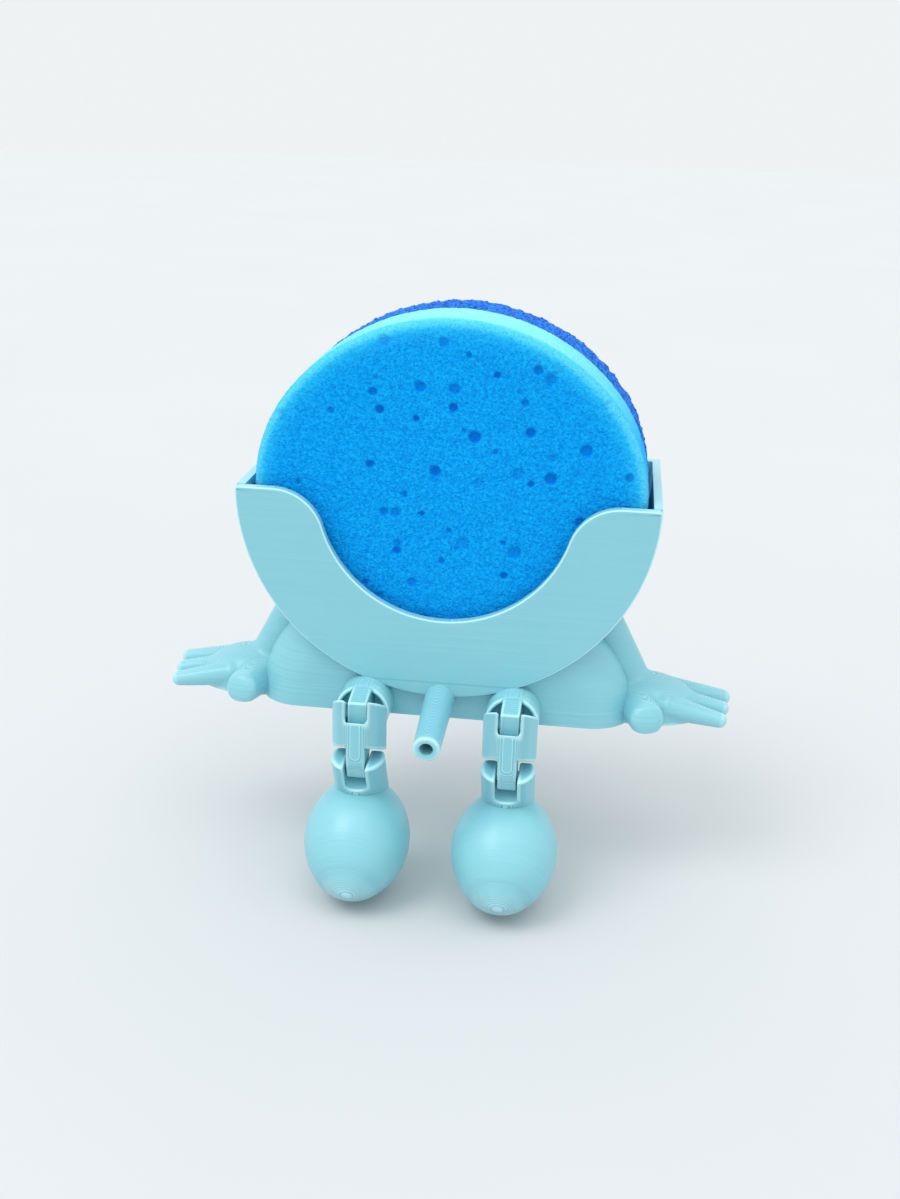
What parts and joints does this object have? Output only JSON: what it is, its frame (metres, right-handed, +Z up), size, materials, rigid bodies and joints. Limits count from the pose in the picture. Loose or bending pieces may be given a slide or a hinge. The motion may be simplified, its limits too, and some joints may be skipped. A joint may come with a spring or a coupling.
{
  "type": "sponge holder",
  "caption": "Seated-figure sponge holder: half-round cradle with a drain spout on a rounded base, arms leaning on flat hands, hinged hanging legs and a lift-out layered sponge.",
  "frame": {"origin": "middle of the base's flat underside", "axes": "+Z up, -Y towards the front with the notch, spout and legs, +X to the viewer's right"},
  "size_m": [0.1726, 0.0894, 0.1667],
  "materials": {
    "aqua_print": "satin printed plastic with fine layer lines",
    "foam": "fine-celled soft foam",
    "scrubber": "coarse open scouring foam"
  },
  "bodies": {
    "holder": {"front_plate": "aqua_print", "trough_wall": "aqua_print", "back_plate": "aqua_print", "base": "aqua_print", "drain_spout": "aqua_print", "left_arm": "aqua_print", "left_hand": "aqua_print", "left_hip": "aqua_print", "right_arm": "aqua_print", "right_hand": "aqua_print", "right_hip": "aqua_print"},
    "left_lower_leg": {"left_shin": "aqua_print", "left_hip_pin": "aqua_print"},
    "left_foot_group": {"left_ankle": "aqua_print", "left_foot": "aqua_print", "left_ankle_pin": "aqua_print"},
    "right_lower_leg": {"right_shin": "aqua_print", "right_hip_pin": "aqua_print"},
    "right_foot_group": {"right_ankle": "aqua_print", "right_foot": "aqua_print", "right_ankle_pin": "aqua_print"},
    "sponge": {"sponge_foam": "foam", "sponge_scrubber": "scrubber"}
  },
  "joints": [
    {"name": "left_hip_hinge", "type": "hinge", "parent": "holder", "child": "left_lower_leg", "pos_m": [-0.02175, -0.042, 0.007], "axis": [-1, 0, 0], "range_deg": [-5, 90]},
    {"name": "left_ankle_hinge", "type": "hinge", "parent": "left_lower_leg", "child": "left_foot_group", "pos_m": [-0.02175, -0.042, -0.009], "axis": [-1, 0, 0], "range_deg": [-4, 45]},
    {"name": "right_hip_hinge", "type": "hinge", "parent": "holder", "child": "right_lower_leg", "pos_m": [0.02175, -0.042, 0.007], "axis": [-1, 0, 0], "range_deg": [-5, 90]},
    {"name": "right_ankle_hinge", "type": "hinge", "parent": "right_lower_leg", "child": "right_foot_group", "pos_m": [0.02175, -0.042, -0.009], "axis": [-1, 0, 0], "range_deg": [-4, 45]},
    {"name": "sponge_lift", "type": "slide", "parent": "holder", "child": "sponge", "axis": [0, 0, 1], "range_m": [0, 0.065]}
  ]
}
